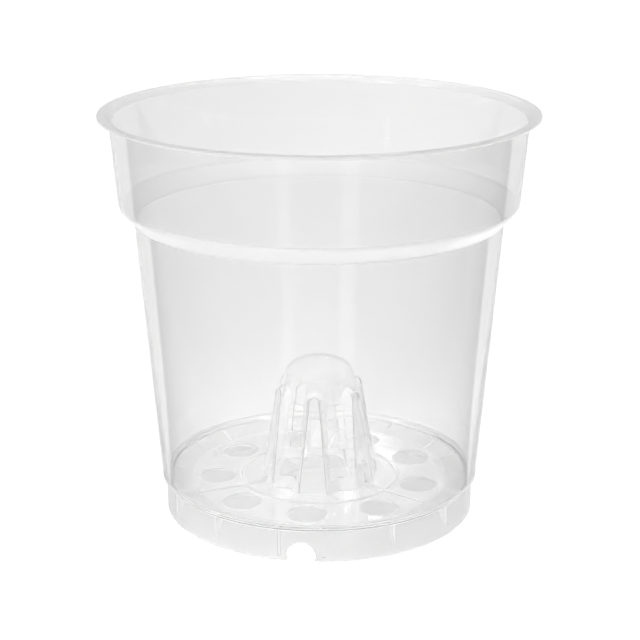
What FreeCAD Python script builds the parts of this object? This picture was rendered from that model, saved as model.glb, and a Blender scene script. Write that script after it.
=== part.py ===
"""Clear orchid pot with a slotted air cone, moulded in one piece and built here zone by zone.

The frame has +Z up and its origin at the centre of the foot. One of the skirt's notches faces -Y.
Lengths are millimetres and angles are degrees.
"""
import FreeCAD, Part
import math
import os

import Sketcher

Vector = FreeCAD.Vector
Z_AXIS = Vector(0, 0, 1)

# Driving dimensions: name, value, meaning
SIZES = (
    ("wall", 0.8, "thickness of the wall, the shoulder, the skirt and the cone"),
    ("pot_height", 122.4, "top of the rim above the foot"),
    ("lip_radius", 64.8, "outside radius of the rim lip"),
    ("lip_reach", 3.29, "how far the lip stands out from the collar's top"),
    ("lip_thick", 0.7, "thickness of the flat lip"),
    ("lip_bend", 1.2, "slant under the lip, where it leaves the collar"),
    ("lip_drop", 4.5, "height of the zone that turns over into the lip"),
    ("collar_height", 26.8, "height of the collar, from its foot to the top of the rim"),
    ("collar_draft", 5.06, "lean of the collar from upright"),
    ("collar_corner", 2.5, "rounding of the collar's outside corner"),
    ("collar_seam_rise", 3.4, "collar included in the shoulder zone"),
    ("shoulder_run", 4.4, "how far the shoulder steps in from the collar to the side wall"),
    ("shoulder_climb", 4.5, "height of the shoulder"),
    ("shoulder_corner", 0.8, "rounding under the shoulder"),
    ("wall_draft", 4.693, "lean of the side wall from upright"),
    ("wall_seam_drop", 2.1, "side wall included in the shoulder zone"),
    ("skirt_height", 9.5, "height of the skirt under its ledge"),
    ("ledge_run", 1.25, "how far the skirt steps in from the side wall"),
    ("ledge_rise", 1.2, "height of that ledge"),
    ("notch_count", 3, "notches in the foot of the skirt"),
    ("notch_half", 4.9, "half width of a notch at the floor"),
    ("notch_crown", 4.3, "radius of a notch's rounded top"),
    ("notch_share", 0.6316, "height of a notch over that of the skirt"),
    ("notch_flare", 1.5, "rounding of a notch's lower corners"),
    ("floor_drop", 1.1, "drop from the skirt's ledge to the top of the drain floor"),
    ("floor_thick", 0.9, "thickness of the floor"),
    ("floor_share", 0.856, "radius of the flat drain floor over the inside of the skirt"),
    ("margin_lap", 0.5, "how far the floor's sloping margin runs up the side wall"),
    ("drain_count", 9, "drain holes"),
    ("drain_ring_share", 0.8, "radius of the circle of drain holes over that of the drain floor"),
    ("drain_share", 0.1418, "radius of a drain hole over that of the drain floor"),
    ("rib_width", 1.3, "width of the ribs on the floor"),
    ("rib_height", 0.5, "height of the ribs on the floor"),
    ("ring_rib_share", 0.6076, "middle radius of the ring rib over that of the drain floor"),
    ("spoke_fin_height", 1.7, "height of a spoke where it meets the cone"),
    ("fin_thick", 0.8, "thickness of the upright fins inside the skirt"),
    ("fin_clearance", 0.08, "play between a fin and the round wall behind it"),
    ("gusset_depth", 3.0, "reach of a gusset under the floor"),
    ("gusset_share", 0.19, "height of a gusset's lower point over that of the skirt"),
    ("gusset_spread", 34.3, "angle between a notch and the gussets beside it"),
    ("notch_rib_depth", 0.9, "reach of the ribs beside a notch"),
    ("notch_rib_share", 0.126, "height of the lower end of those ribs over that of the skirt"),
    ("notch_rib_spread", 8.15, "angle between a notch and its ribs"),
    ("cone_share", 0.3671, "outside radius of the cone's foot over that of the drain floor"),
    ("cone_height", 46.5, "top of the cone above the foot"),
    ("flange_share", 1.283, "radius of the flange under the cone over that of its foot"),
    ("brow_share", 0.7103, "outside radius of the cone's brow over that of its foot"),
    ("brow_drop", 1.9, "drop from the top of the cone to its brow"),
    ("brow_round", 2.2, "rounding of the brow"),
    ("crown_share", 0.207, "radius of the flat on the cone's top over that of the cone's foot"),
    ("stave_count", 6, "raised staves round the cone"),
    ("stave_rise_share", 0.7822, "height of a stave over that of the cone above the floor"),
    ("stave_foot_share", 1.2276, "reach of a stave's face at the floor over the radius of the cone's foot"),
    ("stave_head_share", 0.9379, "reach of a stave's face at its head over the radius of the cone's foot"),
    ("stave_width_share", 0.3241, "half width of a stave's foot over the radius of the cone's foot"),
    ("stave_arch_share", 0.1207, "radius of a stave's arched head over that of the cone's foot"),
    ("stave_root_share", 0.4138, "depth of a stave into the cone over the radius of the cone's foot"),
    ("stave_flare", 29.0, "slope of a stave's flanks, from its face back to the cone"),
    ("slot_foot_share", 0.0945, "lower edge of the slots over the height of the cone above the floor"),
    ("slot_head_share", 0.685, "upper edge of the slots over the height of the cone above the floor"),
    ("slot_width_share", 0.2241, "half width of a slot's lower edge over the radius of the cone's foot"),
    ("slot_top_share", 0.2034, "half width of a slot's upper edge over the radius of the cone's foot"),
    ("slot_corner", 1.5, "rounding of a slot's upper corners"),
    ("overrun", 2.0, "how far a cut runs past what it cuts"),
)

# Places worked out from the driving dimensions
PLACES = (
    ("collar_slope", "tan(Sizes.collar_draft)"),
    ("wall_slope", "tan(Sizes.wall_draft)"),
    ("lip_under", "Sizes.pot_height - Sizes.lip_thick"),
    ("lip_seam", "Sizes.pot_height - Sizes.lip_drop"),
    ("collar_foot_height", "Sizes.pot_height - Sizes.collar_height"),
    ("lip_under_radius", "Sizes.lip_radius - Sizes.lip_reach"),
    ("collar_foot_radius", "lip_under_radius - (lip_under - collar_foot_height) * collar_slope"),
    ("lip_seam_radius", "collar_foot_radius + (lip_seam - collar_foot_height) * collar_slope"),
    ("lip_top_radius", "collar_foot_radius + Sizes.collar_height * collar_slope"),
    ("lip_slant", "Sizes.lip_bend + Sizes.wall / 2"),
    ("collar_seam", "collar_foot_height + Sizes.collar_seam_rise"),
    ("collar_seam_radius", "collar_foot_radius + Sizes.collar_seam_rise * collar_slope"),
    ("shoulder_foot_radius", "collar_foot_radius - Sizes.shoulder_run"),
    ("shoulder_foot_height", "collar_foot_height - Sizes.shoulder_climb"),
    ("shoulder_shift", "Sizes.wall * tan(atan(Sizes.shoulder_run / Sizes.shoulder_climb) / 2)"),
    ("wall_foot_height", "Sizes.skirt_height + Sizes.ledge_rise"),
    ("wall_foot_radius", "shoulder_foot_radius - (shoulder_foot_height - wall_foot_height) * wall_slope"),
    ("wall_seam", "shoulder_foot_height - Sizes.wall_seam_drop"),
    ("wall_seam_radius", "shoulder_foot_radius - Sizes.wall_seam_drop * wall_slope"),
    ("skirt_radius", "wall_foot_radius - Sizes.ledge_run"),
    ("skirt_inside", "skirt_radius - Sizes.wall"),
    ("notch_height", "Sizes.skirt_height * Sizes.notch_share"),
    ("floor_top", "Sizes.skirt_height - Sizes.floor_drop"),
    ("floor_under", "floor_top - Sizes.floor_thick"),
    ("floor_radius", "skirt_inside * Sizes.floor_share"),
    ("margin_top", "wall_foot_height + Sizes.margin_lap"),
    ("margin_radius", "wall_foot_radius + Sizes.margin_lap * wall_slope - Sizes.wall"),
    ("margin_slope", "(margin_top - floor_top) / (margin_radius - floor_radius)"),
    ("margin_edge_top", "floor_top + (skirt_inside - floor_radius) * margin_slope"),
    ("margin_edge_under", "margin_edge_top - Sizes.floor_thick"),
    ("drain_ring", "floor_radius * Sizes.drain_ring_share"),
    ("drain_radius", "floor_radius * Sizes.drain_share"),
    ("ring_rib_radius", "floor_radius * Sizes.ring_rib_share"),
    ("gusset_foot", "Sizes.skirt_height * Sizes.gusset_share"),
    ("notch_rib_foot", "Sizes.skirt_height * Sizes.notch_rib_share"),
    ("cone_foot_radius", "floor_radius * Sizes.cone_share"),
    ("cone_flange_radius", "cone_foot_radius * Sizes.flange_share"),
    ("cone_brow_radius", "cone_foot_radius * Sizes.brow_share"),
    ("cone_brow_height", "Sizes.cone_height - Sizes.brow_drop"),
    ("crown_radius", "cone_foot_radius * Sizes.crown_share"),
    ("cone_slope", "(cone_foot_radius - cone_brow_radius) / (cone_brow_height - floor_top)"),
    ("cone_rise", "Sizes.cone_height - floor_top"),
    ("stave_rise", "cone_rise * Sizes.stave_rise_share"),
    ("stave_foot_reach", "cone_foot_radius * Sizes.stave_foot_share"),
    ("stave_head_reach", "cone_foot_radius * Sizes.stave_head_share"),
    ("stave_foot_half", "cone_foot_radius * Sizes.stave_width_share"),
    ("stave_head_half", "cone_foot_radius * Sizes.stave_arch_share"),
    ("stave_root", "cone_foot_radius * Sizes.stave_root_share"),
    ("stave_slope", "(stave_foot_reach - stave_head_reach) / stave_rise"),
    ("stave_length", "stave_rise / cos(atan(stave_slope))"),
    ("stave_inset", "Sizes.wall * (1 - sin(Sizes.stave_flare)) / cos(Sizes.stave_flare)"),
    ("slot_foot_height", "floor_top + cone_rise * Sizes.slot_foot_share"),
    ("slot_head_height", "floor_top + cone_rise * Sizes.slot_head_share"),
    ("slot_foot_half", "cone_foot_radius * Sizes.slot_width_share"),
    ("slot_head_half", "cone_foot_radius * Sizes.slot_top_share"),
    ("cap_seam", "slot_head_height - Sizes.slot_corner"),
)

doc = FreeCAD.newDocument("OrchidPot")


def fill_sheets():
    """Writes the driving dimensions and the places worked out from them into two sheets."""
    sizes = doc.addObject("Spreadsheet::Sheet", "Sizes")
    for row, (alias, number, meaning) in enumerate(SIZES, start=1):
        sizes.set(f"A{row}", alias)
        sizes.set(f"B{row}", str(number))
        sizes.set(f"C{row}", meaning)
        sizes.setAlias(f"B{row}", alias)
    places = doc.addObject("Spreadsheet::Sheet", "Places")
    for row, (alias, formula) in enumerate(PLACES, start=1):
        places.set(f"A{row}", alias)
        places.set(f"B{row}", "=" + formula)
        places.setAlias(f"B{row}", alias)
    doc.recompute()
    return places


places_sheet = fill_sheets()


def number(formula):
    """Gives the value of a formula that names cells of the sheets."""
    return float(places_sheet.evalExpression(formula))


def new_body(name):
    body = doc.addObject("PartDesign::Body", name)
    body.Label = name
    return body


def origin_feature(body, role):
    return next(feature for feature in body.Origin.OriginFeatures if feature.Role == role)


def new_sketch(body, name, plane):
    sketch = body.newObject("Sketcher::SketchObject", name)
    sketch.AttachmentSupport = [(origin_feature(body, plane), "")]
    sketch.MapMode = "FlatFace"
    return sketch


def pin_point(sketch, geometry, end, place):
    """Ties one end of a piece of a sketch to a place given by two formulas."""
    for kind, axis, formula in (("DistanceX", -2, place[0]), ("DistanceY", -1, place[1])):
        if formula == "0":
            sketch.addConstraint(Sketcher.Constraint("PointOnObject", geometry, end, axis))
            continue
        index = sketch.addConstraint(Sketcher.Constraint(kind, -1, 1, geometry, end, number(formula)))
        sketch.setExpression(f"Constraints[{index}]", formula)


def pin_radius(sketch, geometry, formula):
    index = sketch.addConstraint(Sketcher.Constraint("Radius", geometry, number(formula)))
    sketch.setExpression(f"Constraints[{index}]", formula)


def draw_outline(sketch, corners):
    """Draws a closed outline. A corner is (x, y) or, where it is rounded, (x, y, radius), in formulas."""
    count = len(corners)
    points = [Vector(number(corner[0]), number(corner[1]), 0) for corner in corners]
    entries, exits, centres = [], [], []
    for index, corner in enumerate(corners):
        here = points[index]
        back = (points[index - 1] - here).normalize()
        ahead = (points[(index + 1) % count] - here).normalize()
        radius = number(corner[2]) if len(corner) == 3 else 0
        half = back.getAngle(ahead) / 2
        entries.append(here + back * (radius / math.tan(half)))
        exits.append(here + ahead * (radius / math.tan(half)))
        centres.append(here + (back + ahead).normalize() * (radius / math.sin(half)))
    lines = []
    for index in range(count):
        lines.append(sketch.addGeometry(Part.LineSegment(exits[index], entries[(index + 1) % count])))
    for index, corner in enumerate(corners):
        before, after = lines[index - 1], lines[index]
        if len(corner) == 2:
            sketch.addConstraint(Sketcher.Constraint("Coincident", before, 2, after, 1))
            pin_point(sketch, after, 1, corner)
            continue
        mark = sketch.addGeometry(Part.Point(points[index]), True)
        pin_point(sketch, mark, 1, corner)
        sketch.addConstraint(Sketcher.Constraint("PointOnObject", mark, 1, before))
        sketch.addConstraint(Sketcher.Constraint("PointOnObject", mark, 1, after))
        start, stop, centre = entries[index], exits[index], centres[index]
        turns_left = (start - centre).cross(stop - centre).z > 0
        if not turns_left:
            start, stop = stop, start
        circle = Part.Circle(centre, Z_AXIS, number(corner[2]))
        arc = sketch.addGeometry(Part.ArcOfCircle(circle, circle.parameter(start), circle.parameter(stop)))
        entry_end, exit_end = (1, 2) if turns_left else (2, 1)
        sketch.addConstraint(Sketcher.Constraint("Tangent", before, 2, arc, entry_end))
        sketch.addConstraint(Sketcher.Constraint("Tangent", arc, exit_end, after, 1))
        pin_radius(sketch, arc, corner[2])


def draw_arch(sketch, foot, foot_half, crown_radius, height):
    """Draws an arch: a level foot, two leaning sides and a round head tangent to them."""
    half, radius = number(foot_half), number(crown_radius)
    low = number(foot)
    centre = Vector(0, number(height) - radius, 0)
    reach = math.hypot(half, centre.y - low)
    lean = math.atan2(centre.y - low, half) + math.asin(radius / reach) - math.pi / 2
    touch = Vector(radius * math.cos(lean), centre.y + radius * math.sin(lean), 0)
    far_touch = Vector(-touch.x, touch.y, 0)
    right_foot, left_foot = Vector(half, low, 0), Vector(-half, low, 0)
    base = sketch.addGeometry(Part.LineSegment(left_foot, right_foot))
    right = sketch.addGeometry(Part.LineSegment(right_foot, touch))
    head = sketch.addGeometry(Part.ArcOfCircle(Part.Circle(centre, Z_AXIS, radius), lean, math.pi - lean))
    left = sketch.addGeometry(Part.LineSegment(far_touch, left_foot))
    sketch.addConstraint(Sketcher.Constraint("Coincident", base, 2, right, 1))
    sketch.addConstraint(Sketcher.Constraint("Coincident", left, 2, base, 1))
    sketch.addConstraint(Sketcher.Constraint("Tangent", right, 2, head, 1))
    sketch.addConstraint(Sketcher.Constraint("Tangent", head, 2, left, 1))
    pin_point(sketch, base, 1, (f"-({foot_half})", foot))
    pin_point(sketch, base, 2, (foot_half, foot))
    pin_point(sketch, head, 3, ("0", f"{height} - {crown_radius}"))
    pin_radius(sketch, head, crown_radius)


def draw_circle(sketch, centre, radius):
    place = Vector(number(centre[0]), number(centre[1]), 0)
    circle = sketch.addGeometry(Part.Circle(place, Z_AXIS, number(radius)))
    pin_point(sketch, circle, 3, centre)
    pin_radius(sketch, circle, radius)


def revolve(body, name, corners, cut=False):
    """Turns an outline in the plane of X and Z about the pot's axis."""
    sketch = new_sketch(body, name + "_profile", "XZ_Plane")
    draw_outline(sketch, corners)
    kind = "PartDesign::Groove" if cut else "PartDesign::Revolution"
    feature = body.newObject(kind, name)
    feature.Profile = sketch
    feature.ReferenceAxis = (sketch, ["V_Axis"])
    feature.Angle = 360
    return feature


def pad(body, name, sketch, length, **settings):
    feature = body.newObject("PartDesign::Pad", name)
    feature.Profile = sketch
    feature.setExpression("Length", length)
    for setting, choice in settings.items():
        setattr(feature, setting, choice)
    return feature


def pocket(body, name, sketch, length, **settings):
    feature = body.newObject("PartDesign::Pocket", name)
    feature.Profile = sketch
    feature.setExpression("Length", length)
    for setting, choice in settings.items():
        setattr(feature, setting, choice)
    return feature


def repeat_round(body, name, feature, count):
    """Repeats a feature evenly round the pot's axis."""
    pattern = body.newObject("PartDesign::PolarPattern", name)
    pattern.Originals = [feature]
    pattern.Axis = (origin_feature(body, "Z_Axis"), [""])
    pattern.Angle = 360
    pattern.setExpression("Occurrences", count)
    body.Tip = pattern
    return pattern


def turned(axis):
    """Gives a placement that keeps an axis to turn about, until a formula sets its angle."""
    return FreeCAD.Placement(Vector(), FreeCAD.Rotation(axis, 1))


def turn(piece, angle):
    """Turns a finished piece about the pot's axis by a formula in degrees."""
    piece.Placement = turned(Z_AXIS)
    piece.setExpression("Placement.Rotation.Angle", angle)


def make_rim_lip():
    body = new_body("rim_lip")
    revolve(body, "lip_turn", (
        ("Places.lip_seam_radius", "Places.lip_seam"),
        ("Places.lip_under_radius - Sizes.lip_bend * Places.collar_slope", "Places.lip_under - Sizes.lip_bend"),
        ("Places.lip_under_radius + Sizes.lip_bend", "Places.lip_under"),
        ("Sizes.lip_radius", "Places.lip_under"),
        ("Sizes.lip_radius", "Sizes.pot_height"),
        ("Places.lip_top_radius - Sizes.wall + Places.lip_slant", "Sizes.pot_height"),
        ("Places.lip_top_radius - Sizes.wall - Places.lip_slant * Places.collar_slope",
         "Sizes.pot_height - Places.lip_slant"),
        ("Places.lip_seam_radius - Sizes.wall", "Places.lip_seam"),
    ))
    return body


def make_upper_collar():
    body = new_body("upper_collar")
    revolve(body, "collar_turn", (
        ("Places.collar_seam_radius", "Places.collar_seam"),
        ("Places.lip_seam_radius", "Places.lip_seam"),
        ("Places.lip_seam_radius - Sizes.wall", "Places.lip_seam"),
        ("Places.collar_seam_radius - Sizes.wall", "Places.collar_seam"),
    ))
    return body


def make_shoulder_step():
    body = new_body("shoulder_step")
    revolve(body, "shoulder_turn", (
        ("Places.wall_seam_radius", "Places.wall_seam"),
        ("Places.shoulder_foot_radius", "Places.shoulder_foot_height", "Sizes.shoulder_corner"),
        ("Places.collar_foot_radius", "Places.collar_foot_height", "Sizes.collar_corner"),
        ("Places.collar_seam_radius", "Places.collar_seam"),
        ("Places.collar_seam_radius - Sizes.wall", "Places.collar_seam"),
        ("Places.collar_foot_radius - Sizes.wall", "Places.collar_foot_height + Places.shoulder_shift",
         "Sizes.collar_corner - Sizes.wall"),
        ("Places.shoulder_foot_radius - Sizes.wall", "Places.shoulder_foot_height + Places.shoulder_shift",
         "Sizes.shoulder_corner + Sizes.wall"),
        ("Places.wall_seam_radius - Sizes.wall", "Places.wall_seam"),
    ))
    return body


def make_side_wall():
    body = new_body("side_wall")
    revolve(body, "wall_turn", (
        ("Places.wall_foot_radius", "Places.wall_foot_height"),
        ("Places.wall_seam_radius", "Places.wall_seam"),
        ("Places.wall_seam_radius - Sizes.wall", "Places.wall_seam"),
        ("Places.wall_foot_radius - Sizes.wall", "Places.wall_foot_height"),
    ))
    return body


def make_foot_skirt():
    """Makes the ring that the pot stands on, with the ledge that carries the wall and the notches."""
    body = new_body("foot_skirt")
    revolve(body, "skirt_turn", (
        ("Places.skirt_inside", "0"),
        ("Places.skirt_radius", "0"),
        ("Places.skirt_radius", "Sizes.skirt_height"),
        ("Places.wall_foot_radius", "Places.wall_foot_height"),
        ("Places.wall_foot_radius - Sizes.wall", "Places.wall_foot_height"),
        ("Places.margin_radius", "Places.margin_top"),
        ("Places.skirt_inside", "Places.margin_edge_top"),
    ))
    doc.recompute()
    whole = body.Shape.Volume
    sketch = new_sketch(body, "notch_arch", "XZ_Plane")
    draw_arch(sketch, "0", "Sizes.notch_half", "Sizes.notch_crown", "Places.notch_height")
    notch = pocket(body, "notch", sketch, "Places.skirt_radius + Sizes.overrun", Reversed=True)
    notches = repeat_round(body, "notches", notch, "Sizes.notch_count")
    doc.recompute()
    if body.Shape.Volume >= whole:
        raise RuntimeError("the notches cut nothing")
    flare = body.newObject("PartDesign::Fillet", "notch_flare")
    flare.Base = (notches, notch_corners(notches.Shape))
    flare.setExpression("Radius", "Sizes.notch_flare")
    body.Tip = flare
    return body


def notch_corners(shape):
    """Names the short edges across the skirt's foot, where the notches begin."""
    names = []
    for index, edge in enumerate(shape.Edges, start=1):
        ends = [vertex.Point for vertex in edge.Vertexes]
        on_floor = all(abs(end.z) < Part.Precision.confusion() for end in ends)
        if on_floor and isinstance(edge.Curve, Part.Line):
            names.append(f"Edge{index}")
    return names


def make_floor_margin():
    body = new_body("floor_margin")
    revolve(body, "margin_turn", (
        ("Places.floor_radius", "Places.floor_under"),
        ("Places.skirt_inside", "Places.margin_edge_under"),
        ("Places.skirt_inside", "Places.margin_edge_top"),
        ("Places.floor_radius", "Places.floor_top"),
    ))
    return body


def make_drain_floor():
    body = new_body("drain_floor")
    revolve(body, "floor_turn", (
        ("Places.cone_flange_radius", "Places.floor_under"),
        ("Places.floor_radius", "Places.floor_under"),
        ("Places.floor_radius", "Places.floor_top"),
        ("Places.cone_flange_radius", "Places.floor_top"),
    ))
    doc.recompute()
    whole = body.Shape.Volume
    sketch = new_sketch(body, "drain_circle", "XY_Plane")
    draw_circle(sketch, ("0", "-Places.drain_ring"), "Places.drain_radius")
    hole = pocket(body, "drain_hole", sketch, "Places.floor_top + Sizes.overrun", Reversed=True)
    repeat_round(body, "drain_holes", hole, "Sizes.drain_count")
    doc.recompute()
    if body.Shape.Volume >= whole:
        raise RuntimeError("the drain holes cut nothing")
    return body


def make_floor_ribs():
    """Makes the ring rib and its spokes, which rise into small fins at the foot of the cone."""
    body = new_body("floor_ribs")
    half_width = "Sizes.rib_width / 2"
    rib_top = "Places.floor_top + Sizes.rib_height"
    revolve(body, "ring_rib", (
        (f"Places.ring_rib_radius - {half_width}", "Places.floor_top"),
        (f"Places.ring_rib_radius + {half_width}", "Places.floor_top"),
        (f"Places.ring_rib_radius + {half_width}", rib_top),
        (f"Places.ring_rib_radius - {half_width}", rib_top),
    ))
    sketch = new_sketch(body, "spoke_side", "XZ_Plane")
    draw_outline(sketch, (
        ("Places.stave_foot_reach", "Places.floor_top"),
        ("Places.floor_radius", "Places.floor_top"),
        ("Places.floor_radius", rib_top),
        ("Places.ring_rib_radius", rib_top),
        ("Places.stave_foot_reach - Sizes.spoke_fin_height * Places.stave_slope",
         "Places.floor_top + Sizes.spoke_fin_height"),
    ))
    spoke = pad(body, "spoke", sketch, "Sizes.rib_width", Midplane=True)
    repeat_round(body, "spokes", spoke, "Sizes.notch_count")
    turn(body, "180 / Sizes.notch_count - 90")
    return body


def make_fin(name, corners, azimuth):
    """Makes an upright fin in a plane through the pot's axis, at an angle counted from the front notch."""
    body = new_body(name)
    sketch = new_sketch(body, name + "_side", "XZ_Plane")
    draw_outline(sketch, corners)
    pad(body, name + "_plate", sketch, "Sizes.fin_thick", Midplane=True)
    turn(body, f"{azimuth} - 90")
    return body


def make_skirt_gussets():
    """Makes the triangular gussets that brace the skirt against the floor."""
    back = "Places.skirt_inside - Sizes.fin_clearance"
    corners = (
        (back, "Places.gusset_foot"),
        (back, "Places.margin_edge_under - Sizes.fin_clearance * Places.margin_slope"),
        (f"{back} - Sizes.gusset_depth",
         "Places.margin_edge_under - (Sizes.gusset_depth + Sizes.fin_clearance) * Places.margin_slope"),
    )
    gussets = []
    for notch in range(round(number("Sizes.notch_count"))):
        start = f"{notch} * 360 / Sizes.notch_count"
        offsets = (" + Sizes.gusset_spread", " + 180 / Sizes.notch_count", " - Sizes.gusset_spread")
        for offset in offsets:
            gussets.append(make_fin(f"skirt_gusset_{len(gussets) + 1}", corners, start + offset))
    return gussets


def make_notch_ribs():
    """Makes the slim upright ribs on both sides of every notch."""
    back = "Places.skirt_inside - Sizes.fin_clearance"
    front = f"{back} - Sizes.notch_rib_depth"
    corners = (
        (back, "Places.notch_rib_foot"),
        (back, "Places.margin_edge_under - Sizes.fin_clearance * Places.margin_slope"),
        (front, "Places.margin_edge_under - (Sizes.notch_rib_depth + Sizes.fin_clearance) * Places.margin_slope"),
        (front, "Places.notch_rib_foot"),
    )
    ribs = []
    for notch in range(round(number("Sizes.notch_count"))):
        for side in (" - Sizes.notch_rib_spread", " + Sizes.notch_rib_spread"):
            azimuth = f"{notch} * 360 / Sizes.notch_count" + side
            ribs.append(make_fin(f"notch_rib_{len(ribs) + 1}", corners, azimuth))
    return ribs


def lean_sketch(sketch, reach):
    """Sets a sketch in the leaning plane of a stave's face, with its foot on the floor."""
    sketch.AttachmentOffset = turned(Vector(-1, 0, 0))
    sketch.setExpression("AttachmentOffset.Base.y", "Places.floor_top")
    sketch.setExpression("AttachmentOffset.Base.z", reach)
    sketch.setExpression("AttachmentOffset.Rotation.Angle", "atan(Places.stave_slope)")


def make_air_cone():
    """Makes the whole hollow cone: a domed shell with raised staves and an open slot between each two."""
    body = new_body("air_cone")
    brow_inside = "Places.cone_brow_height - Sizes.wall"
    revolve(body, "cone_turn", (
        ("0", "Places.floor_under"),
        ("Places.cone_flange_radius", "Places.floor_under"),
        ("Places.cone_flange_radius", "Places.floor_top"),
        ("Places.cone_foot_radius", "Places.floor_top"),
        ("Places.cone_brow_radius", "Places.cone_brow_height", "Sizes.brow_round"),
        ("Places.crown_radius", "Sizes.cone_height"),
        ("0", "Sizes.cone_height"),
    ))
    face = new_sketch(body, "stave_face", "XZ_Plane")
    lean_sketch(face, "Places.stave_foot_reach")
    draw_arch(face, "0", "Places.stave_foot_half", "Places.stave_head_half", "Places.stave_length")
    stave = pad(body, "stave", face, "Places.stave_root", Reversed=True)
    stave.setExpression("TaperAngle", "Sizes.stave_flare")
    repeat_round(body, "staves", stave, "Sizes.stave_count")
    revolve(body, "cone_hollow", (
        ("0", "Places.floor_under - Sizes.overrun"),
        ("Places.cone_foot_radius - Sizes.wall + (Sizes.floor_thick + Sizes.overrun) * Places.cone_slope",
         "Places.floor_under - Sizes.overrun"),
        ("Places.cone_brow_radius - Sizes.wall + Sizes.wall * Places.cone_slope", brow_inside,
         "Sizes.brow_round - Sizes.wall"),
        ("Places.crown_radius", "Sizes.cone_height - Sizes.wall"),
        ("0", "Sizes.cone_height - Sizes.wall"),
    ), cut=True)
    inner_face = new_sketch(body, "stave_inner_face", "XZ_Plane")
    lean_sketch(inner_face, "Places.stave_foot_reach - Sizes.wall")
    draw_arch(inner_face, "-Sizes.overrun", "Places.stave_foot_half - Places.stave_inset",
              "Places.stave_head_half - Places.stave_inset", "Places.stave_length - Places.stave_inset")
    hollow = pocket(body, "stave_hollow", inner_face, "Places.stave_root - Sizes.wall")
    hollow.setExpression("TaperAngle", "Sizes.stave_flare")
    repeat_round(body, "stave_hollows", hollow, "Sizes.stave_count")
    opening = new_sketch(body, "slot_outline", "XZ_Plane")
    opening.AttachmentOffset = turned(Vector(0, 1, 0))
    opening.setExpression("AttachmentOffset.Rotation.Angle", "180 / Sizes.stave_count")
    draw_outline(opening, (
        ("-Places.slot_foot_half", "Places.slot_foot_height"),
        ("Places.slot_foot_half", "Places.slot_foot_height"),
        ("Places.slot_head_half", "Places.slot_head_height", "Sizes.slot_corner"),
        ("-Places.slot_head_half", "Places.slot_head_height", "Sizes.slot_corner"),
    ))
    slot = pocket(body, "slot", opening, "Places.stave_foot_reach + Sizes.overrun", Reversed=True)
    repeat_round(body, "slots", slot, "Sizes.stave_count")
    return body


def make_zone(kind, name, sizes, place):
    """Makes a plain solid that picks out one zone of the cone. Its sizes and its place are formulas."""
    zone = doc.addObject(kind, name)
    for size, formula in sizes.items():
        zone.setExpression(size, formula)
    for axis, formula in place.items():
        zone.setExpression(f"Placement.Base.{axis}", formula)
    return zone


def common(name, whole, zone):
    piece = doc.addObject("Part::Common", name)
    piece.Label = name
    piece.Base = whole
    piece.Tool = zone
    return piece


def make_cone_zones():
    """Parts the cone into its foot, its cap and its staves, which meet face to face."""
    cone = make_air_cone()
    wide = "Places.cone_flange_radius + Sizes.overrun"
    half = "(Places.stave_foot_half + Sizes.overrun)"
    reach = "(Places.stave_foot_reach + Sizes.overrun)"
    foot_zone = make_zone(
        "Part::Cylinder", "foot_zone",
        {"Radius": wide, "Height": "Places.slot_foot_height - Places.floor_under"},
        {"z": "Places.floor_under"})
    cap_zone = make_zone(
        "Part::Cylinder", "cap_zone",
        {"Radius": wide, "Height": "Sizes.cone_height - Places.cap_seam + Sizes.overrun"},
        {"z": "Places.cap_seam"})
    stave_zone = make_zone(
        "Part::Box", "stave_zone",
        {"Length": f"2 * {half}", "Width": reach, "Height": "Places.cap_seam - Places.slot_foot_height"},
        {"x": f"-{half}", "y": f"-{reach}", "z": "Places.slot_foot_height"})
    pieces = [common("cone_base", cone, foot_zone), common("cone_cap", cone, cap_zone)]
    for index in range(round(number("Sizes.stave_count"))):
        stave = common(f"cone_stave_{index + 1}", cone, stave_zone)
        turn(stave, f"{index} * 360 / Sizes.stave_count")
        pieces.append(stave)
    return pieces


def export(pieces):
    """Checks every object and every piece, then writes one file per piece."""
    doc.recompute()
    for item in doc.Objects:
        if "Invalid" in item.State or "Error" in item.State:
            raise RuntimeError(f"{item.Name} is not up to date: {item.State}")
    os.makedirs("parts", exist_ok=True)
    for piece in pieces:
        if piece.Shape.isNull() or not piece.Shape.isValid():
            raise RuntimeError(f"{piece.Label} has no valid shape")
        piece.Shape.exportStep(f"parts/{piece.Label}.step")
        print(piece.Label, len(piece.Shape.Solids), "solid", round(piece.Shape.Volume, 1), "mm3")


export([
    make_rim_lip(),
    make_upper_collar(),
    make_shoulder_step(),
    make_side_wall(),
    make_foot_skirt(),
    make_floor_margin(),
    make_drain_floor(),
    make_floor_ribs(),
    *make_skirt_gussets(),
    *make_notch_ribs(),
    *make_cone_zones(),
])
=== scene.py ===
"""The look of a clear orchid pot with a slotted air cone: one seamless moulding in a pale studio.

The frame has +Z up, its origin at the centre of the foot and one notch of the skirt towards -Y.
"""
import math

import bmesh
import bpy
from bpy.props import FloatProperty, FloatVectorProperty, IntProperty, PointerProperty
from bpy.types import Operator, Panel, PropertyGroup
from mathutils import Matrix, Vector


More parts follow.
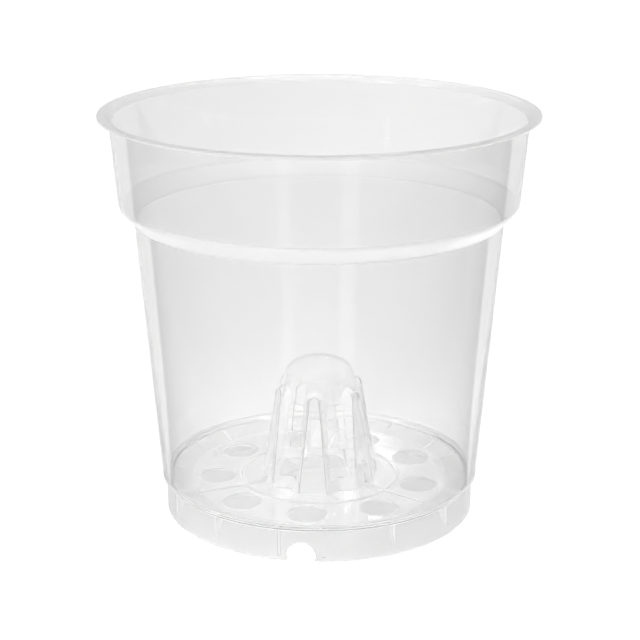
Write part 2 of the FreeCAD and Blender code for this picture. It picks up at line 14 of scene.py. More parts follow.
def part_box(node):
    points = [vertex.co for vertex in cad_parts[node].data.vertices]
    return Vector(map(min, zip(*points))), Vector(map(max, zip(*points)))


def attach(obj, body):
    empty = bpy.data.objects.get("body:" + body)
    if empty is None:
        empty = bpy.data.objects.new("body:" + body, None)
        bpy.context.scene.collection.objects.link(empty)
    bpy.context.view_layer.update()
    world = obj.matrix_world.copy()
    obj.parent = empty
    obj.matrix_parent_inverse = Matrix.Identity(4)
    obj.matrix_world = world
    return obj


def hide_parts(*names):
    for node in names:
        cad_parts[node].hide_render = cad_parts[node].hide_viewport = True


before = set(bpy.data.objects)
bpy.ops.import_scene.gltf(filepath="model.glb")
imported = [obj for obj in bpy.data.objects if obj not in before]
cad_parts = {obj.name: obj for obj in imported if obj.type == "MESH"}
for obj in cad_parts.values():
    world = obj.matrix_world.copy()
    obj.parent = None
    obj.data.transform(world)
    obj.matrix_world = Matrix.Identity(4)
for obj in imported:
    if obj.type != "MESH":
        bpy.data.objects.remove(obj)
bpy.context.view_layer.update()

bl_info = {
    "name": "Clear Orchid Pot",
    "version": (1, 0, 0),
    "blender": (4, 5, 0),
    "location": "View3D > Sidebar > Orchid Pot",
    "description": "Moulds a clear orchid pot with a slotted air cone and lights it in a pale studio",
    "category": "Object",
}

PHOTO_WIDTH = 640
MM = 0.001
SAME_PLACE = MM / 1000
SAME_HEIGHT = MM / 100
FILM_WIDTH = 36
NEAR_CLIP = 10 * MM
CLEAR_BOUNCES = 24
GLOSSY_BOUNCES = 12
POT_NAME = "clear_pot"
BODY = "root"
Z_AXIS = Vector((0, 0, 1))
LIP_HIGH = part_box("rim_lip")[1] / MM
FLOOR_LOW, FLOOR_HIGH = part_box("drain_floor")[0] / MM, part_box("drain_floor")[1] / MM
SKIRT_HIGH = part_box("foot_skirt")[1] / MM
CAP_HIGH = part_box("cone_cap")[1] / MM


def length(name, millimetres, description):
    """Makes a length property whose default is given in millimetres."""
    return FloatProperty(name=name, description=description, default=millimetres * MM,
                         unit="LENGTH", precision=5, min=0)


def angle(name, degrees, description):
    """Makes an angle property whose default is given in degrees."""
    return FloatProperty(name=name, description=description, default=math.radians(degrees),
                         subtype="ANGLE", unit="ROTATION")


def amount(name, default, description):
    return FloatProperty(name=name, description=description, default=default, min=0, precision=3)


def colour(name, default, description):
    return FloatVectorProperty(name=name, description=description, default=default,
                               subtype="COLOR", size=3, min=0, max=1)


def count(name, default, description):
    return IntProperty(name=name, description=description, default=default, min=2)


class OrchidWallSizes(PropertyGroup):
    """Sizes of the rim, the collar, the side wall and the skirt."""
    wall: length("Wall", 0.8, "Thickness of the wall")
    pot_height: length("Height", LIP_HIGH.z, "Top of the rim above the foot")
    lip_radius: length("Lip Radius", LIP_HIGH.x, "Outside radius of the rim lip")
    lip_thick: length("Lip Thickness", 0.7, "Thickness of the flat lip")
    lip_bend: length("Lip Bend", 1.2, "Radius under the lip, where it leaves the collar")
    lip_edge: length("Lip Edge", 0.3, "Rounding of the lip's outer edge")
    collar_radius: length("Collar Radius", 59.2, "Outside radius at the foot of the collar")
    collar_height: length("Collar Height", 95.6, "Height of the collar's foot")
    collar_draft: angle("Collar Draft", 5.06, "Lean of the collar from upright")
    collar_corner: length("Collar Corner", 2.5, "Rounding of the collar's outside corner")
    shoulder_radius: length("Shoulder Radius", 54.8, "Outside radius at the foot of the shoulder")
    shoulder_height: length("Shoulder Height", 91.1, "Height where the shoulder leaves the wall")
    shoulder_corner: length("Shoulder Corner", 0.8, "Rounding under the shoulder")
    wall_foot_radius: length("Wall Foot Radius", SKIRT_HIGH.x, "Outside radius at the foot of the wall")
    wall_foot_height: length("Wall Foot Height", 10.7, "Height of the side wall's foot")
    skirt_radius: length("Skirt Radius", 46.95, "Outside radius of the skirt")
    skirt_height: length("Skirt Height", 9.5, "Height of the skirt under its ledge")
    ledge_round: length("Ledge Rounding", 0.35, "Rounding of the ledge's two corners")
    foot_round: length("Foot Rounding", 0.2, "Rounding of the skirt's lower edges")
    notch_half: length("Notch Half Width", 4.9, "Half width of a notch at the floor")
    notch_crown: length("Notch Crown", 4.3, "Radius of a notch's rounded top")
    notch_height: length("Notch Height", 6.0, "Height of a notch")
    notch_flare: length("Notch Flare", 1.5, "Rounding of a notch's lower corners")
    notch_cut: length("Notch Cut", 8, "Thickness of the plate that cuts a notch")
    notches: count("Notches", 3, "Notches in the foot of the skirt")


class OrchidFloorSizes(PropertyGroup):
    """Sizes of the floor, its drain holes and its ribs."""
    top: length("Floor Top", FLOOR_HIGH.z, "Top of the drain floor above the foot")
    under: length("Floor Underside", FLOOR_LOW.z, "Underside of the drain floor above the foot")
    radius: length("Floor Radius", FLOOR_HIGH.x, "Radius of the flat floor")
    margin_rise: length("Margin Rise", 2.8, "Rise of the sloping margin up to the wall")
    margin_round: length("Margin Rounding", 0.6, "Rounding at both ends of the margin")
    margin_corner: length("Margin Corner", 1.5, "Rounding where the margin leaves the floor's top")
    drains: count("Drain Holes", 9, "Drain holes in the floor")
    drain_ring: length("Drain Ring", 31.6, "Radius of the circle of drain holes")
    drain_radius: length("Drain Radius", 5.6, "Radius of a drain hole")
    drain_edge: length("Drain Edge", 0.3, "Broken edge of a drain hole")
    rib_width: length("Rib Width", 1.3, "Width of the ribs on the floor")
    rib_height: length("Rib Height", 0.5, "Height of the ribs on the floor")
    rib_draft: length("Rib Draft", 0.2, "How much a rib narrows on each side towards its top")
    ring_radius: length("Ring Rib Radius", 24.0, "Middle radius of the ring rib")
    fin_height: length("Spoke Fin Height", 1.7, "Height of a spoke where it meets the cone")
    fin_thick: length("Fin Thickness", 0.8, "Thickness of the fins inside the skirt")
    gusset_depth: length("Gusset Depth", 3.0, "Reach of a gusset under the floor")
    gusset_foot: length("Gusset Foot", 1.8, "Height of a gusset's lower point")
    gusset_spread: angle("Gusset Spread", 34.3, "Angle between a notch and its gussets")
    notch_rib_depth: length("Notch Rib Depth", 0.9, "Reach of the ribs beside a notch")
    notch_rib_foot: length("Notch Rib Foot", 1.2, "Height of the lower end of those ribs")
    notch_rib_spread: angle("Notch Rib Spread", 8.15, "Angle between a notch and its ribs")


class OrchidConeSizes(PropertyGroup):
    """Sizes of the air cone, its raised staves and its slots."""
    foot_radius: length("Foot Radius", 14.5, "Outside radius of the cone at the floor")
    brow_radius: length("Brow Radius", 10.3, "Outside radius of the cone at its brow")
    brow_height: length("Brow Height", 44.6, "Height of the cone's brow")
    brow_round: length("Brow Rounding", 5.0, "Rounding of the brow")
    height: length("Height", CAP_HIGH.z, "Top of the cone above the foot")
    crown_radius: length("Crown Radius", 3.0, "Radius of the flat in the middle of the top")
    crown_round: length("Crown Rounding", 8.0, "Rounding between that flat and the top's slope")
    foot_round: length("Foot Rounding", 0.4, "Fillet between the cone and the floor")
    staves: count("Staves", 6, "Raised staves round the cone")
    stave_foot_reach: length("Stave Foot Reach", 17.8, "Distance from the axis to a stave's face at the floor")
    stave_head_reach: length("Stave Head Reach", 13.6, "Distance from the axis to a stave's face at its head")
    stave_head_height: length("Stave Head Height", 38.2, "Height of a stave's arched head")
    stave_foot_half: length("Stave Foot Half", 4.7, "Half width of a stave's face at the floor")
    stave_head_half: length("Stave Head Half", 1.75, "Radius of a stave's arched head")
    stave_flare: angle("Stave Flare", 29.0, "Slope of a stave's flanks, from its face back to the cone")
    stave_root: length("Stave Root", 6.0, "Depth to which a stave is carried into the cone")
    stave_edge: length("Stave Edge", 0.2, "Rounding of a stave's face edges")
    slot_foot_height: length("Slot Foot", 12.0, "Height of the slots' lower edge")
    slot_head_height: length("Slot Head", 34.5, "Height of the slots' upper edge")
    slot_foot_half: length("Slot Foot Half", 3.25, "Half width of a slot at its lower edge")
    slot_head_half: length("Slot Head Half", 2.95, "Half width of a slot at its upper edge")
    slot_corner: length("Slot Corner", 1.5, "Rounding of a slot's upper corners")


class OrchidMeshing(PropertyGroup):
    """How finely the round forms are divided."""
    turns: count("Turn Steps", 288, "Steps of a full turn")
    arcs: count("Arc Steps", 5, "Steps of a rounded corner")
    heads: count("Head Steps", 20, "Steps of an arched head")
    edges: count("Edge Steps", 3, "Steps of a stave's rounded edge")
    hole_steps: count("Hole Steps", 72, "Steps round a drain hole")
    overrun: length("Overrun", 2.0, "How far a cutter runs past what it cuts")
    crease: angle("Crease", 26.0, "Edges that turn more than this stay sharp")


class OrchidPlastic(PropertyGroup):
    """The clear plastic."""
    tint: colour("Tint", (0.975, 0.975, 0.975), "Colour that the plastic gives to what shows through it")
    clear: amount("Clear", 0.87, "Share of the light that passes straight through, the rest being milky")
    ior: amount("Index", 1.49, "Index of refraction")
    smooth: amount("Smooth", 0.02, "Roughness of the polished areas")
    dull: amount("Dull", 0.07, "Roughness of the duller flow marks")
    wave_height: length("Wave Height", 0.006, "Height of the slow waves in the moulded wall")
    wave_size: length("Wave Size", 22.0, "Spacing of those waves")
    wave_detail: amount("Wave Detail", 1, "Detail of those waves")
    marks_in_wave: amount("Marks in a Wave", 3, "Flow marks in the width of a wave")
    mark_detail: amount("Mark Detail", 6, "Detail of the flow marks")
    mark_low: amount("Mark Start", 0.45, "Where in their pattern the flow marks start")
    mark_high: amount("Mark End", 0.75, "Where in their pattern the flow marks are dullest")
    edge_width: length("Edge Width", 0.22, "Faces narrower than this along a rounded edge are milkier")
    edge_turn: angle("Edge Turn", 4.5, "Least angle across such an edge")
    rim_width: length("Rim Width", 0.75, "Faces narrower than this along a sharp edge are milkier too")
    rim_turn: angle("Rim Turn", 35, "Least angle across a sharp edge")
    edge_milk: amount("Edge Milk", 0.8, "How much milkier those faces are")
    slope_milk: amount("Slope Milk", 0.8, "How much of that milkiness the shoulder and the ledge have")
    lip_milk: amount("Lip Milk", 0.75, "How much of that milkiness the lip and its bends have")
    dome_milk: amount("Dome Milk", 0.2, "How much of that milkiness the top of the cone has")
    through: amount("Lit Through", 0.85, "How much of the milky plastic's light comes from its other side")
    milk_rough: amount("Milk Roughness", 0.3, "Roughness of the milky plastic")


class OrchidStage(PropertyGroup):
    """The studio, and the camera at the viewing angle of the picture."""
    distance: length("Distance", 524.3, "Level distance from the pot's axis to the camera")
    rise: length("Rise", 220.6, "Height of the camera above the foot")
    azimuth: angle("Azimuth", 6.5, "Angle from -Y round to the camera")
    pitch: angle("Pitch", 17.193, "How far the camera looks down")
    focal_pixels: amount("Focal Length in Pixels", 1813.7, "Focal length over the size of a pixel")
    axis_pixel: amount("Axis Pixel", 319.3, "Column of the picture in which the pot's axis lies")
    sky: amount("Sky", 0.62, "Brightness of the studio above the floor")
    # Painted shadow: the darker tone painted on the floor under the pot, added to the shadow that the lamps cast
    # through the plastic
    painted_shadow_tone: amount("Sheet Paint", 0.53, "How pale the floor under the pot is")
    backdrop: amount("Backdrop", 1.05, "Brightness of the clean backdrop round the pot")
    sheet_radius: length("Sheet Radius", 57, "Radius of the shaded floor under the pot")
    sheet_soft: length("Sheet Edge", 4, "Width of the sheet's soft edge")
    floor_size: length("Floor Size", 12000, "Side of the floor")
    floor_drop: length("Floor Drop", 0.1, "Gap between the foot and the floor")


# Plain tools for shapes


def new_piece(name, mesh_maker):
    """Makes an object at the origin from a bmesh whose faces point outwards."""
    bmesh.ops.remove_doubles(mesh_maker, verts=mesh_maker.verts, dist=SAME_PLACE)
    bmesh.ops.recalc_face_normals(mesh_maker, faces=mesh_maker.faces)
    mesh = bpy.data.meshes.new(name)
    mesh_maker.to_mesh(mesh)
    mesh_maker.free()
    piece = bpy.data.objects.new(name, mesh)
    bpy.context.scene.collection.objects.link(piece)
    return piece


def corner_angle(back, here, ahead):
    """Gives the angle at a corner between the two sides that leave it."""
    return (back - here).angle(ahead - here)


def round_corners(mesh_maker, verts, radii, steps):
    """Rounds the corners of a flat outline, each with its own radius."""
    places = [vert.co.copy() for vert in verts]
    total = len(verts)
    for index, (vert, radius) in enumerate(zip(verts, radii)):
        if not radius:
            continue
        turn = corner_angle(places[index - 1], places[index], places[(index + 1) % total])
        bmesh.ops.bevel(mesh_maker, geom=[vert], offset=radius / math.tan(turn / 2), offset_type="OFFSET",
                        segments=steps, profile=0.5, affect="VERTICES", material=-1)


def draw_outline(mesh_maker, corners, steps):
    """Draws a flat face in the plane of X and Z. A corner is (x, z) or (x, z, rounding)."""
    verts = [mesh_maker.verts.new((corner[0], 0, corner[1])) for corner in corners]
    mesh_maker.faces.new(verts)
    radii = [corner[2] if len(corner) == 3 else 0 for corner in corners]
    round_corners(mesh_maker, verts, radii, steps)


def turned_piece(name, corners, steps, arc_steps):
    """Turns an outline about the pot's axis. An outline that starts and ends on the axis closes there."""
    maker = bmesh.new()
    draw_outline(maker, corners, arc_steps)
    bmesh.ops.delete(maker, geom=maker.faces[:], context="FACES_ONLY")
    on_axis = [edge for edge in maker.edges if all(vert.co.x < SAME_PLACE for vert in edge.verts)]
    bmesh.ops.delete(maker, geom=on_axis, context="EDGES")
    bmesh.ops.spin(maker, geom=maker.verts[:] + maker.edges[:], cent=(0, 0, 0), axis=Z_AXIS, dvec=(0, 0, 0),
                   angle=math.tau, steps=steps, use_merge=True, use_duplicate=False)
    return new_piece(name, maker)


def plate_piece(name, corners, thickness, arc_steps, place=Matrix()):
    """Makes a flat plate from an outline in the plane of X and Z, with the plate's middle in that plane."""
    maker = bmesh.new()
    draw_outline(maker, corners, arc_steps)
    bmesh.ops.translate(maker, verts=maker.verts, vec=(0, -thickness / 2, 0))
    grown = bmesh.ops.extrude_face_region(maker, geom=maker.faces[:])
    moved = [item for item in grown["geom"] if isinstance(item, bmesh.types.BMVert)]
    bmesh.ops.translate(maker, verts=moved, vec=(0, thickness, 0))
    bmesh.ops.transform(maker, matrix=place, verts=maker.verts)
    return new_piece(name, maker)


def arch_corners(foot, foot_half, crown_radius, height, steps):
    """Gives the points of an arch: a level foot, two leaning sides and a round head tangent to them."""
    centre = height - crown_radius
    reach = math.hypot(foot_half, centre - foot)
    lean = math.atan2(centre - foot, foot_half) + math.asin(crown_radius / reach) - math.pi / 2
    points = [(-foot_half, foot), (foot_half, foot)]
    for step in range(steps + 1):
        turn = lean + (math.pi - 2 * lean) * step / steps
        points.append((crown_radius * math.cos(turn), centre + crown_radius * math.sin(turn)))
    return points


def flared_prism(name, points, depth, flare, edge, steps, place):
    """Makes a prism behind an outline, widening on every side as it goes back."""
    maker = bmesh.new()
    face = maker.faces.new([maker.verts.new((x, y, 0)) for x, y in points])
    if face.normal.z < 0:
        face.normal_flip()
    maker.normal_update()
    bmesh.ops.inset_individual(maker, faces=[face], thickness=-depth * math.tan(flare), depth=-depth,
                               use_even_offset=True)
    rim = [side for side in maker.edges if side.is_boundary]
    front = bmesh.ops.holes_fill(maker, edges=rim)["faces"]
    if edge:
        front_edges = list({side for cap in front for side in cap.edges})
        bmesh.ops.bevel(maker, geom=front_edges, offset=edge, offset_type="OFFSET", segments=steps, profile=0.5,
                        affect="EDGES", material=-1)
    bmesh.ops.transform(maker, matrix=place, verts=maker.verts)
    return new_piece(name, maker)


def combine(pot, tool, operation):
    """Joins a tool to the pot, or cuts it out, and removes the tool."""
    modifier = pot.modifiers.new(tool.name, "BOOLEAN")
    modifier.operation = operation
    modifier.solver = "MANIFOLD"
    modifier.object = tool
    graph = bpy.context.evaluated_depsgraph_get()
    mesh = bpy.data.meshes.new_from_object(pot.evaluated_get(graph))
    if not mesh.polygons:
        raise RuntimeError(f"{tool.name} left nothing of the pot")
    pot.modifiers.clear()
    old, pot.data = pot.data, mesh
    tool_mesh = tool.data
    bpy.data.objects.remove(tool)
    bpy.data.meshes.remove(tool_mesh)
    bpy.data.meshes.remove(old)
    mesh.name = POT_NAME


def copies_round(total, start=0.0):
    """Gives the turns about the pot's axis for evenly spaced copies."""
    return [Matrix.Rotation(start + index * math.tau / total, 4, "Z") for index in range(total)]


def pot_piece():
    """Gives the pot, which the first operator makes."""
    pot = bpy.data.objects.get(POT_NAME)
    if pot is None:
        raise RuntimeError("turn the pot first")
    return pot


# Places worked out from the sizes


def margin_places(scene):
    """Gives the margin's outer end on the wall and its slope."""
    wall, floor = scene.orchid_wall, scene.orchid_floor
    lean = (wall.shoulder_radius - wall.wall_foot_radius) / (wall.shoulder_height - wall.wall_foot_height)
    top = floor.top + floor.margin_rise
    radius = wall.wall_foot_radius + (top - wall.wall_foot_height) * lean - wall.wall
    slope = floor.margin_rise / (radius - floor.radius)
    return radius, top, slope


def margin_underside(scene, radius):
    """Gives the height of the margin's underside at a radius."""
    floor = scene.orchid_floor
    return floor.under + (radius - floor.radius) * margin_places(scene)[2]


def stave_place(cone, floor, setback):
    """Gives the place of a stave's leaning face, with its foot on the floor."""
    lean = math.atan2(cone.stave_foot_reach - cone.stave_head_reach, cone.stave_head_height - floor.top)
    foot = Matrix.Translation((0, setback - cone.stave_foot_reach, floor.top))
    return foot @ Matrix.Rotation(math.pi / 2 - lean, 4, "X"), lean


def pot_outline(scene):
    """Gives the whole pot's section, from the middle of its underside round to the top of its cone."""
    wall, floor, cone = scene.orchid_wall, scene.orchid_floor, scene.orchid_cone
    lean = math.tan(wall.collar_draft)
    under_radius = wall.collar_radius + (wall.pot_height - wall.lip_thick - wall.collar_height) * lean
    top_radius = wall.collar_radius + (wall.pot_height - wall.collar_height) * lean
    shoulder = math.atan2(wall.collar_radius - wall.shoulder_radius, wall.collar_height - wall.shoulder_height)
    shift = wall.wall * math.tan(shoulder / 2)
    margin_radius, margin_top, _ = margin_places(scene)
    skirt_inside = wall.skirt_radius - wall.wall
    half, draft = floor.rib_width / 2, floor.rib_draft
    rib_top = floor.top + floor.rib_height
    return [
        (0, floor.under),
        (floor.radius, floor.under, floor.margin_round),
        (skirt_inside, margin_underside(scene, skirt_inside), floor.margin_round),
        (skirt_inside, 0, wall.foot_round),
        (wall.skirt_radius, 0, wall.foot_round),
        (wall.skirt_radius, wall.skirt_height, wall.ledge_round),
        (wall.wall_foot_radius, wall.wall_foot_height, wall.ledge_round),
        (wall.shoulder_radius, wall.shoulder_height, wall.shoulder_corner),
        (wall.collar_radius, wall.collar_height, wall.collar_corner),
        (under_radius, wall.pot_height - wall.lip_thick, wall.lip_bend),
        (wall.lip_radius, wall.pot_height - wall.lip_thick, wall.lip_edge),
        (wall.lip_radius, wall.pot_height, wall.lip_edge),
        (top_radius - wall.wall, wall.pot_height, wall.lip_bend + wall.wall),
        (wall.collar_radius - wall.wall, wall.collar_height + shift, wall.collar_corner - wall.wall),
        (wall.shoulder_radius - wall.wall, wall.shoulder_height + shift, wall.shoulder_corner + wall.wall),
        (margin_radius, margin_top, floor.margin_round),
        (floor.radius, floor.top, floor.margin_corner),
        (floor.ring_radius + half, floor.top),
        (floor.ring_radius + half - draft, rib_top, draft),
        (floor.ring_radius - half + draft, rib_top, draft),
        (floor.ring_radius - half, floor.top),
        (cone.foot_radius, floor.top, cone.foot_round),
        (cone.brow_radius, cone.brow_height, cone.brow_round),
        (cone.crown_radius, cone.height, cone.crown_round),
        (0, cone.height),
    ]


# Operators for the pot


class ORCHID_OT_turn_pot(Operator):
    """Turn the pot's rim, collar, wall, skirt and floor with a solid cone"""
    bl_idname = "orchid.turn_pot"
    bl_label = "Turn Pot"

    def execute(self, context):
        meshing = context.scene.orchid_meshing
        turned_piece(POT_NAME, pot_outline(context.scene), meshing.turns, meshing.arcs)
        return {"FINISHED"}


class ORCHID_OT_raise_staves(Operator):
    """Raise the tapered staves round the cone"""
    bl_idname = "orchid.raise_staves"
    bl_label = "Raise Staves"

    def execute(self, context):
        scene = context.scene
        cone, floor, meshing = scene.orchid_cone, scene.orchid_floor, scene.orchid_meshing
        place, lean = stave_place(cone, floor, 0)
        face_length = (cone.stave_head_height - floor.top) / math.cos(lean)
        points = arch_corners(0, cone.stave_foot_half, cone.stave_head_half, face_length, meshing.heads)
        for turn in copies_round(cone.staves):
            stave = flared_prism("stave", points, cone.stave_root, cone.stave_flare, cone.stave_edge,
                                 meshing.edges, turn @ place)
            combine(pot_piece(), stave, "UNION")
        return {"FINISHED"}


class ORCHID_OT_hollow_cone(Operator):
    """Hollow the cone and its staves from below"""
    bl_idname = "orchid.hollow_cone"
    bl_label = "Hollow Cone"

    def execute(self, context):
        scene = context.scene
        cone, floor, meshing = scene.orchid_cone, scene.orchid_floor, scene.orchid_meshing
        wall = scene.orchid_wall.wall
        lean = (cone.foot_radius - cone.brow_radius) / (cone.brow_height - floor.top)
        low = floor.under - meshing.overrun
        core = turned_piece("core", [
            (0, low),
            (cone.foot_radius - wall + (floor.top - low) * lean, low),
            (cone.brow_radius - wall + wall * lean, cone.brow_height - wall, cone.brow_round - wall),
            (cone.crown_radius, cone.height - wall, cone.crown_round - wall),
            (0, cone.height - wall),
        ], meshing.turns, meshing.arcs)
        combine(pot_piece(), core, "DIFFERENCE")
        place, stave_lean = stave_place(cone, floor, wall)
        inset = wall * (1 - math.sin(cone.stave_flare)) / math.cos(cone.stave_flare)
        face_length = (cone.stave_head_height - floor.top) / math.cos(stave_lean)
        points = arch_corners(-meshing.overrun, cone.stave_foot_half - inset, cone.stave_head_half - inset,
                              face_length - inset, meshing.heads)
        for turn in copies_round(cone.staves):
            hollow = flared_prism("hollow", points, cone.stave_root - wall, cone.stave_flare, 0,
                                  meshing.edges, turn @ place)
            combine(pot_piece(), hollow, "DIFFERENCE")
        return {"FINISHED"}


class ORCHID_OT_cut_slots(Operator):
    """Cut the open slots between the staves"""
    bl_idname = "orchid.cut_slots"
    bl_label = "Cut Slots"

    def execute(self, context):
        cone, meshing = context.scene.orchid_cone, context.scene.orchid_meshing
        corners = [
            (-cone.slot_foot_half, cone.slot_foot_height),
            (cone.slot_foot_half, cone.slot_foot_height),
            (cone.slot_head_half, cone.slot_head_height, cone.slot_corner),
            (-cone.slot_head_half, cone.slot_head_height, cone.slot_corner),
        ]
        reach = cone.stave_foot_reach + meshing.overrun
        inside = cone.brow_radius / 2
        for turn in copies_round(cone.staves, math.pi / cone.staves):
            place = turn @ Matrix.Translation((0, -(reach + inside) / 2, 0))
            combine(pot_piece(), plate_piece("slot", corners, reach - inside, meshing.arcs, place), "DIFFERENCE")
        return {"FINISHED"}


class ORCHID_OT_drill_drains(Operator):
    """Drill the ring of drain holes, with their edges broken"""
    bl_idname = "orchid.drill_drains"
    bl_label = "Drill Drains"

    def execute(self, context):
        floor, meshing = context.scene.orchid_floor, context.scene.orchid_meshing
        edge = floor.drain_edge
        for turn in copies_round(floor.drains):
            drill = turned_piece("drill", [
                (0, floor.under - meshing.overrun),
                (floor.drain_radius + edge + meshing.overrun, floor.under - meshing.overrun),
                (floor.drain_radius, floor.under + edge),
                (floor.drain_radius, floor.top - edge),
                (floor.drain_radius + edge + meshing.overrun, floor.top + meshing.overrun),
                (0, floor.top + meshing.overrun),
            ], meshing.hole_steps, meshing.arcs)
            drill.data.transform(turn @ Matrix.Translation((0, -floor.drain_ring, 0)))
            combine(pot_piece(), drill, "DIFFERENCE")
        return {"FINISHED"}


class ORCHID_OT_cut_notches(Operator):
    """Cut the arched notches in the skirt, with flared feet"""
    bl_idname = "orchid.cut_notches"
    bl_label = "Cut Notches"

    def execute(self, context):
        wall, meshing = context.scene.orchid_wall, context.scene.orchid_meshing
        arch = arch_corners(0, wall.notch_half, wall.notch_crown, wall.notch_height, meshing.heads)
        left, right, head = arch[0], arch[1], arch[2:]
        wide, low = wall.notch_half + wall.notch_flare, -meshing.overrun
        corners = [
            (-wide - meshing.overrun, low), (wide + meshing.overrun, low), (wide + meshing.overrun, 0),
            (right[0], right[1], wall.notch_flare), *head, (left[0], left[1], wall.notch_flare),
            (-wide - meshing.overrun, 0),
        ]
        for turn in copies_round(wall.notches):
            place = turn @ Matrix.Translation((0, -wall.skirt_radius, 0))
            combine(pot_piece(), plate_piece("notch", corners, wall.notch_cut, meshing.arcs, place), "DIFFERENCE")
        return {"FINISHED"}


class ORCHID_OT_add_ribs(Operator):
    """Add the spokes on the floor and the fins that brace the skirt"""
    bl_idname = "orchid.add_ribs"
    bl_label = "Add Ribs"

    def execute(self, context):
        scene = context.scene
        wall, floor = scene.orchid_wall, scene.orchid_floor
        for turn in copies_round(wall.notches, math.pi / wall.notches - math.pi / 2):
            combine(pot_piece(), self.spoke(scene, turn), "UNION")
        gusset_turns = (floor.gusset_spread, math.pi / wall.notches, -floor.gusset_spread)
        for azimuth in gusset_turns:
            for turn in copies_round(wall.notches, azimuth - math.pi / 2):
                combine(pot_piece(), self.fin(scene, floor.gusset_depth, floor.gusset_foot, False, turn), "UNION")
        for azimuth in (-floor.notch_rib_spread, floor.notch_rib_spread):
            for turn in copies_round(wall.notches, azimuth - math.pi / 2):
                rib = self.fin(scene, floor.notch_rib_depth, floor.notch_rib_foot, True, turn)
                combine(pot_piece(), rib, "UNION")
        return {"FINISHED"}

    def spoke(self, scene, turn):
        """Makes one spoke, sunk into the floor and into the cone's stave, with a fin at the stave."""
        floor, cone = scene.orchid_floor, scene.orchid_cone
        lean = stave_place(cone, floor, 0)[1]
        sunk = floor.top - (floor.top - floor.under) / 2
        inner = cone.stave_foot_reach - floor.rib_height
        rib_top = floor.top + floor.rib_height
        corners = [
            (inner, sunk), (floor.radius, sunk), (floor.radius, rib_top), (floor.ring_radius, rib_top),
            (cone.stave_foot_reach - floor.fin_height * math.tan(lean), floor.top + floor.fin_height),
            (inner - floor.fin_height * math.tan(lean), floor.top + floor.fin_height),
        ]
        return plate_piece("spoke", corners, floor.rib_width, scene.orchid_meshing.arcs, turn)

    def fin(self, scene, depth, foot, square, turn):
        """Makes one upright fin, sunk into the skirt and the margin, pointed or square at its foot."""
        floor = scene.orchid_floor
        back = scene.orchid_wall.skirt_radius - scene.orchid_wall.wall
        sunk = scene.orchid_wall.wall / 2
        front = back - depth
        corners = [
            (back + sunk, foot),
            (back + sunk, margin_underside(scene, back + sunk) + sunk),
            (front, margin_underside(scene, front) + sunk),
        ]
        corners += [(front, foot)] if square else [(front, margin_underside(scene, front)), (back, foot)]
        return plate_piece("fin", corners, floor.fin_thick, scene.orchid_meshing.arcs, turn)


class ORCHID_OT_finish_pot(Operator):
    """Shade the pot, give it its clear plastic and tie it to the frame"""
    bl_idname = "orchid.finish_pot"
    bl_label = "Finish Pot"

    def execute(self, context):
        pot = pot_piece()
        check_closed(pot)
        pot.data.shade_smooth()
        pot.data.set_sharp_from_angle(angle=context.scene.orchid_meshing.crease)
        mark_edges(pot, context.scene)
        pot.data.materials.clear()
        pot.data.materials.append(clear_plastic(context.scene.orchid_plastic))
        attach(pot, BODY)
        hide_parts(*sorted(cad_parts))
        return {"FINISHED"}


def faces_axis(face, cone):
    """Tells whether a face lies on the inside of the cone."""
    centre = face.calc_center_median()
    near = math.hypot(centre.x, centre.y) < cone.stave_foot_reach
    return near and centre.x * face.normal.x + centre.y * face.normal.y < 0


def on_slope(face, scene):
    """Tells whether a face belongs to the shoulder or to the skirt's ledge."""
    wall = scene.orchid_wall
    centre = face.calc_center_median()
    shoulder = wall.shoulder_height < centre.z < wall.collar_height + wall.wall
    outside = math.hypot(centre.x, centre.y) > wall.wall_foot_radius - wall.ledge_round
    return shoulder or outside and wall.skirt_height < centre.z < wall.wall_foot_height


def between(height, low, high):
    """Tells whether a height lies clearly between two others."""
    return low + SAME_HEIGHT < height < high - SAME_HEIGHT


def on_rib_flank(face, scene):
    """Tells whether a face belongs to a rib's flank or to the rounding where the margin leaves the floor."""
    floor, centre = scene.orchid_floor, face.calc_center_median()
    outside = math.hypot(centre.x, centre.y) > scene.orchid_cone.stave_foot_reach
    return outside and between(centre.z, floor.top, floor.top + floor.rib_height)


def at_drain(face, floor):
    """Tells whether a face belongs to a drain hole's edge."""
    centre = face.calc_center_median()
    reach, step = math.hypot(centre.x, centre.y), math.tau / floor.drains
    aside = (math.atan2(centre.x, -centre.y) + step / 2) % step - step / 2
    gap = math.hypot(reach * math.sin(aside), reach * math.cos(aside) - floor.drain_ring) - floor.drain_radius
    return abs(gap) < 2 * floor.drain_edge and between(centre.z, floor.under, floor.top)


def on_lip(face, wall):
    """Tells whether a face belongs to the lip or to its bends."""
    return face.calc_center_median().z > wall.pot_height - wall.lip_thick - wall.lip_bend


def on_dome(face, cone):
    """Tells whether a face belongs to the cone's top."""
    centre = face.calc_center_median()
    return centre.z > cone.stave_head_height and math.hypot(centre.x, centre.y) < cone.brow_radius


def mark_edges(piece, scene):
    """Marks the narrow faces along edges and the slopes, where the moulded plastic looks milky."""
    look = scene.orchid_plastic
    maker = bmesh.new()
    maker.from_mesh(piece.data)
    marks = []
    for face in maker.faces:
        longest = sorted(face.edges, key=lambda edge: -edge.calc_length())[:2]
        turns = [edge.calc_face_angle(0) for edge in longest]
        width = face.calc_area() / longest[0].calc_length()
        rounded = width < look.edge_width and max(turns) > look.edge_turn
        sharp = width < look.rim_width and min(turns) > look.rim_turn
        if on_slope(face, scene):
            marks.append(look.slope_milk)
        elif on_lip(face, scene.orchid_wall):
            marks.append(look.lip_milk)
        elif on_dome(face, scene.orchid_cone):
            marks.append(look.dome_milk)
        else:
            edge = (rounded or sharp) and not faces_axis(face, scene.orchid_cone)
            marks.append(float(edge or on_rib_flank(face, scene) or at_drain(face, scene.orchid_floor)))
    maker.free()
    piece.data.attributes.new("edge_mark", "FLOAT", "FACE").data.foreach_set("value", marks)


